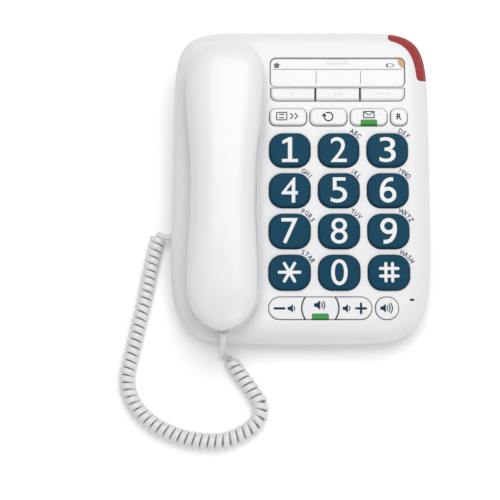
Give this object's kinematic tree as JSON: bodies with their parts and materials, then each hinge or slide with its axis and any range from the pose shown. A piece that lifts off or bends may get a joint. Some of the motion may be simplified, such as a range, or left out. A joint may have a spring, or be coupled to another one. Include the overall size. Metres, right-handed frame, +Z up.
{
  "type": "corded desk telephone",
  "caption": "Corded desk telephone: sloped base with large dial keys, function keys and card window, a handset in a cradle and a curly cord.",
  "frame": {"origin": "on the table, under the middle of the base", "axes": "+X to the right of the keypad, +Y to the back of the base, +Z up"},
  "size_m": [0.2217, 0.2993, 0.0791],
  "materials": {
    "white_shell": "smooth satin-gloss moulded plastic, cool white",
    "grey_shell": "fine-textured moulded plastic, light grey white",
    "teal_key": "satin moulded plastic, dark teal, with white moulded numerals",
    "white_key": "smooth satin-gloss moulded plastic, cool white",
    "rubber": "matt soft rubber",
    "silicone": "matt silicone rubber, grey",
    "steel": "plain zinc-plated steel",
    "black_plastic": "matt moulded plastic, black",
    "board": "green solder mask",
    "red_lens": "translucent red moulded lens",
    "amber_lens": "translucent amber moulded lens",
    "green_lens": "translucent green moulded light pipe",
    "led": "clear epoxy over white ceramic",
    "card": "white index card with thin printed rules",
    "clear_window": "clear moulded window, glossy",
    "cell": "printed sleeve over steel can",
    "clear_plug": "clear moulded connector body",
    "cord": "smooth white cable jacket"
  },
  "bodies": {
    "base": {"bottom_housing": "grey_shell", "top_housing": "white_shell", "rubber_feet": "rubber", "housing_screws": "steel", "line_jack": "black_plastic", "cord_jack": "black_plastic", "keypad_board": "board", "key_mat": "silicone", "loudspeaker": "black_plastic", "microphone": "black_plastic", "hook_switch": "black_plastic", "ringer_lens": "red_lens", "indicator_leds": "led", "battery_low_lens": "amber_lens", "message_light": "green_lens", "handsfree_light": "green_lens", "index_card": "card", "batteries": "cell", "battery_contacts": "steel", "handset_lead": "cord", "coil_cord": "cord", "base_lead": "cord", "base_plug": "clear_plug"},
    "handset": {"handset_top": "white_shell", "handset_bottom": "white_shell", "receiver": "black_plastic", "handset_microphone": "black_plastic", "handset_weight": "steel", "handset_jack": "black_plastic", "handset_screws": "steel", "handset_plug": "clear_plug"},
    "hook_plunger": {"hook_plunger": "white_shell"},
    "card_window": {"card_window": "clear_window"},
    "battery_door": {"battery_door": "grey_shell"},
    "ringer_switch": {"ringer_switch": "black_plastic"},
    "key_1": {"key_1": "teal_key"},
    "key_2": {"key_2": "teal_key"},
    "key_3": {"key_3": "teal_key"},
    "key_4": {"key_4": "teal_key"},
    "key_5": {"key_5": "teal_key"},
    "key_6": {"key_6": "teal_key"},
    "key_7": {"key_7": "teal_key"},
    "key_8": {"key_8": "teal_key"},
    "key_9": {"key_9": "teal_key"},
    "key_star": {"key_star": "teal_key"},
    "key_0": {"key_0": "teal_key"},
    "key_hash": {"key_hash": "teal_key"},
    "key_memory_1": {"key_memory_1": "white_key"},
    "key_memory_2": {"key_memory_2": "white_key"},
    "key_memory_3": {"key_memory_3": "white_key"},
    "key_quick_dial": {"key_quick_dial": "white_key"},
    "key_redial": {"key_redial": "white_key"},
    "key_message": {"key_message": "white_key"},
    "key_recall": {"key_recall": "white_key"},
    "key_volume_down": {"key_volume_down": "white_key"},
    "key_handsfree": {"key_handsfree": "white_key"},
    "key_volume_up": {"key_volume_up": "white_key"},
    "key_loud": {"key_loud": "white_key"}
  },
  "joints": [
    {"name": "handset_lift", "type": "slide", "parent": "base", "child": "handset", "axis": [0, -0.1045, 0.9945], "range_m": [0, 0.08]},
    {"name": "hook_rise", "type": "slide", "parent": "base", "child": "hook_plunger", "axis": [0, -0.1045, 0.9945], "range_m": [0, 0.005]},
    {"name": "window_lift", "type": "slide", "parent": "base", "child": "card_window", "axis": [0, -0.1045, 0.9945], "range_m": [0, 0.02]},
    {"name": "door_drop", "type": "slide", "parent": "base", "child": "battery_door", "axis": [0, 0, -1], "range_m": [0, 0.02]},
    {"name": "ringer_slide", "type": "slide", "parent": "base", "child": "ringer_switch", "axis": [1, 0, 0], "range_m": [-0.004, 0.004]},
    {"name": "press_1", "type": "slide", "parent": "base", "child": "key_1", "axis": [0, 0.1045, -0.9945], "range_m": [0, 0.0012], "stiffness_N_per_m": 500, "springref_m": -0.0005},
    {"name": "press_2", "type": "slide", "parent": "base", "child": "key_2", "axis": [0, 0.1045, -0.9945], "range_m": [0, 0.0012], "stiffness_N_per_m": 500, "springref_m": -0.0005},
    {"name": "press_3", "type": "slide", "parent": "base", "child": "key_3", "axis": [0, 0.1045, -0.9945], "range_m": [0, 0.0012], "stiffness_N_per_m": 500, "springref_m": -0.0005},
    {"name": "press_4", "type": "slide", "parent": "base", "child": "key_4", "axis": [0, 0.1045, -0.9945], "range_m": [0, 0.0012], "stiffness_N_per_m": 500, "springref_m": -0.0005},
    {"name": "press_5", "type": "slide", "parent": "base", "child": "key_5", "axis": [0, 0.1045, -0.9945], "range_m": [0, 0.0012], "stiffness_N_per_m": 500, "springref_m": -0.0005},
    {"name": "press_6", "type": "slide", "parent": "base", "child": "key_6", "axis": [0, 0.1045, -0.9945], "range_m": [0, 0.0012], "stiffness_N_per_m": 500, "springref_m": -0.0005},
    {"name": "press_7", "type": "slide", "parent": "base", "child": "key_7", "axis": [0, 0.1045, -0.9945], "range_m": [0, 0.0012], "stiffness_N_per_m": 500, "springref_m": -0.0005},
    {"name": "press_8", "type": "slide", "parent": "base", "child": "key_8", "axis": [0, 0.1045, -0.9945], "range_m": [0, 0.0012], "stiffness_N_per_m": 500, "springref_m": -0.0005},
    {"name": "press_9", "type": "slide", "parent": "base", "child": "key_9", "axis": [0, 0.1045, -0.9945], "range_m": [0, 0.0012], "stiffness_N_per_m": 500, "springref_m": -0.0005},
    {"name": "press_star", "type": "slide", "parent": "base", "child": "key_star", "axis": [0, 0.1045, -0.9945], "range_m": [0, 0.0012], "stiffness_N_per_m": 500, "springref_m": -0.0005},
    {"name": "press_0", "type": "slide", "parent": "base", "child": "key_0", "axis": [0, 0.1045, -0.9945], "range_m": [0, 0.0012], "stiffness_N_per_m": 500, "springref_m": -0.0005},
    {"name": "press_hash", "type": "slide", "parent": "base", "child": "key_hash", "axis": [0, 0.1045, -0.9945], "range_m": [0, 0.0012], "stiffness_N_per_m": 500, "springref_m": -0.0005},
    {"name": "press_memory_1", "type": "slide", "parent": "base", "child": "key_memory_1", "axis": [0, 0.1045, -0.9945], "range_m": [0, 0.0012], "stiffness_N_per_m": 500, "springref_m": -0.0005},
    {"name": "press_memory_2", "type": "slide", "parent": "base", "child": "key_memory_2", "axis": [0, 0.1045, -0.9945], "range_m": [0, 0.0012], "stiffness_N_per_m": 500, "springref_m": -0.0005},
    {"name": "press_memory_3", "type": "slide", "parent": "base", "child": "key_memory_3", "axis": [0, 0.1045, -0.9945], "range_m": [0, 0.0012], "stiffness_N_per_m": 500, "springref_m": -0.0005},
    {"name": "press_quick_dial", "type": "slide", "parent": "base", "child": "key_quick_dial", "axis": [0, 0.1045, -0.9945], "range_m": [0, 0.0012], "stiffness_N_per_m": 500, "springref_m": -0.0005},
    {"name": "press_redial", "type": "slide", "parent": "base", "child": "key_redial", "axis": [0, 0.1045, -0.9945], "range_m": [0, 0.0012], "stiffness_N_per_m": 500, "springref_m": -0.0005},
    {"name": "press_message", "type": "slide", "parent": "base", "child": "key_message", "axis": [0, 0.1045, -0.9945], "range_m": [0, 0.0012], "stiffness_N_per_m": 500, "springref_m": -0.0005},
    {"name": "press_recall", "type": "slide", "parent": "base", "child": "key_recall", "axis": [0, 0.1045, -0.9945], "range_m": [0, 0.0012], "stiffness_N_per_m": 500, "springref_m": -0.0005},
    {"name": "press_volume_down", "type": "slide", "parent": "base", "child": "key_volume_down", "axis": [0, 0.1045, -0.9945], "range_m": [0, 0.0012], "stiffness_N_per_m": 500, "springref_m": -0.0005},
    {"name": "press_handsfree", "type": "slide", "parent": "base", "child": "key_handsfree", "axis": [0, 0.1045, -0.9945], "range_m": [0, 0.0012], "stiffness_N_per_m": 500, "springref_m": -0.0005},
    {"name": "press_volume_up", "type": "slide", "parent": "base", "child": "key_volume_up", "axis": [0, 0.1045, -0.9945], "range_m": [0, 0.0012], "stiffness_N_per_m": 500, "springref_m": -0.0005},
    {"name": "press_loud", "type": "slide", "parent": "base", "child": "key_loud", "axis": [0, 0.1045, -0.9945], "range_m": [0, 0.0012], "stiffness_N_per_m": 500, "springref_m": -0.0005}
  ],
  "couplings": [
    {"joint": "hook_rise", "follows": "handset_lift", "ratio": 0.0625}
  ]
}
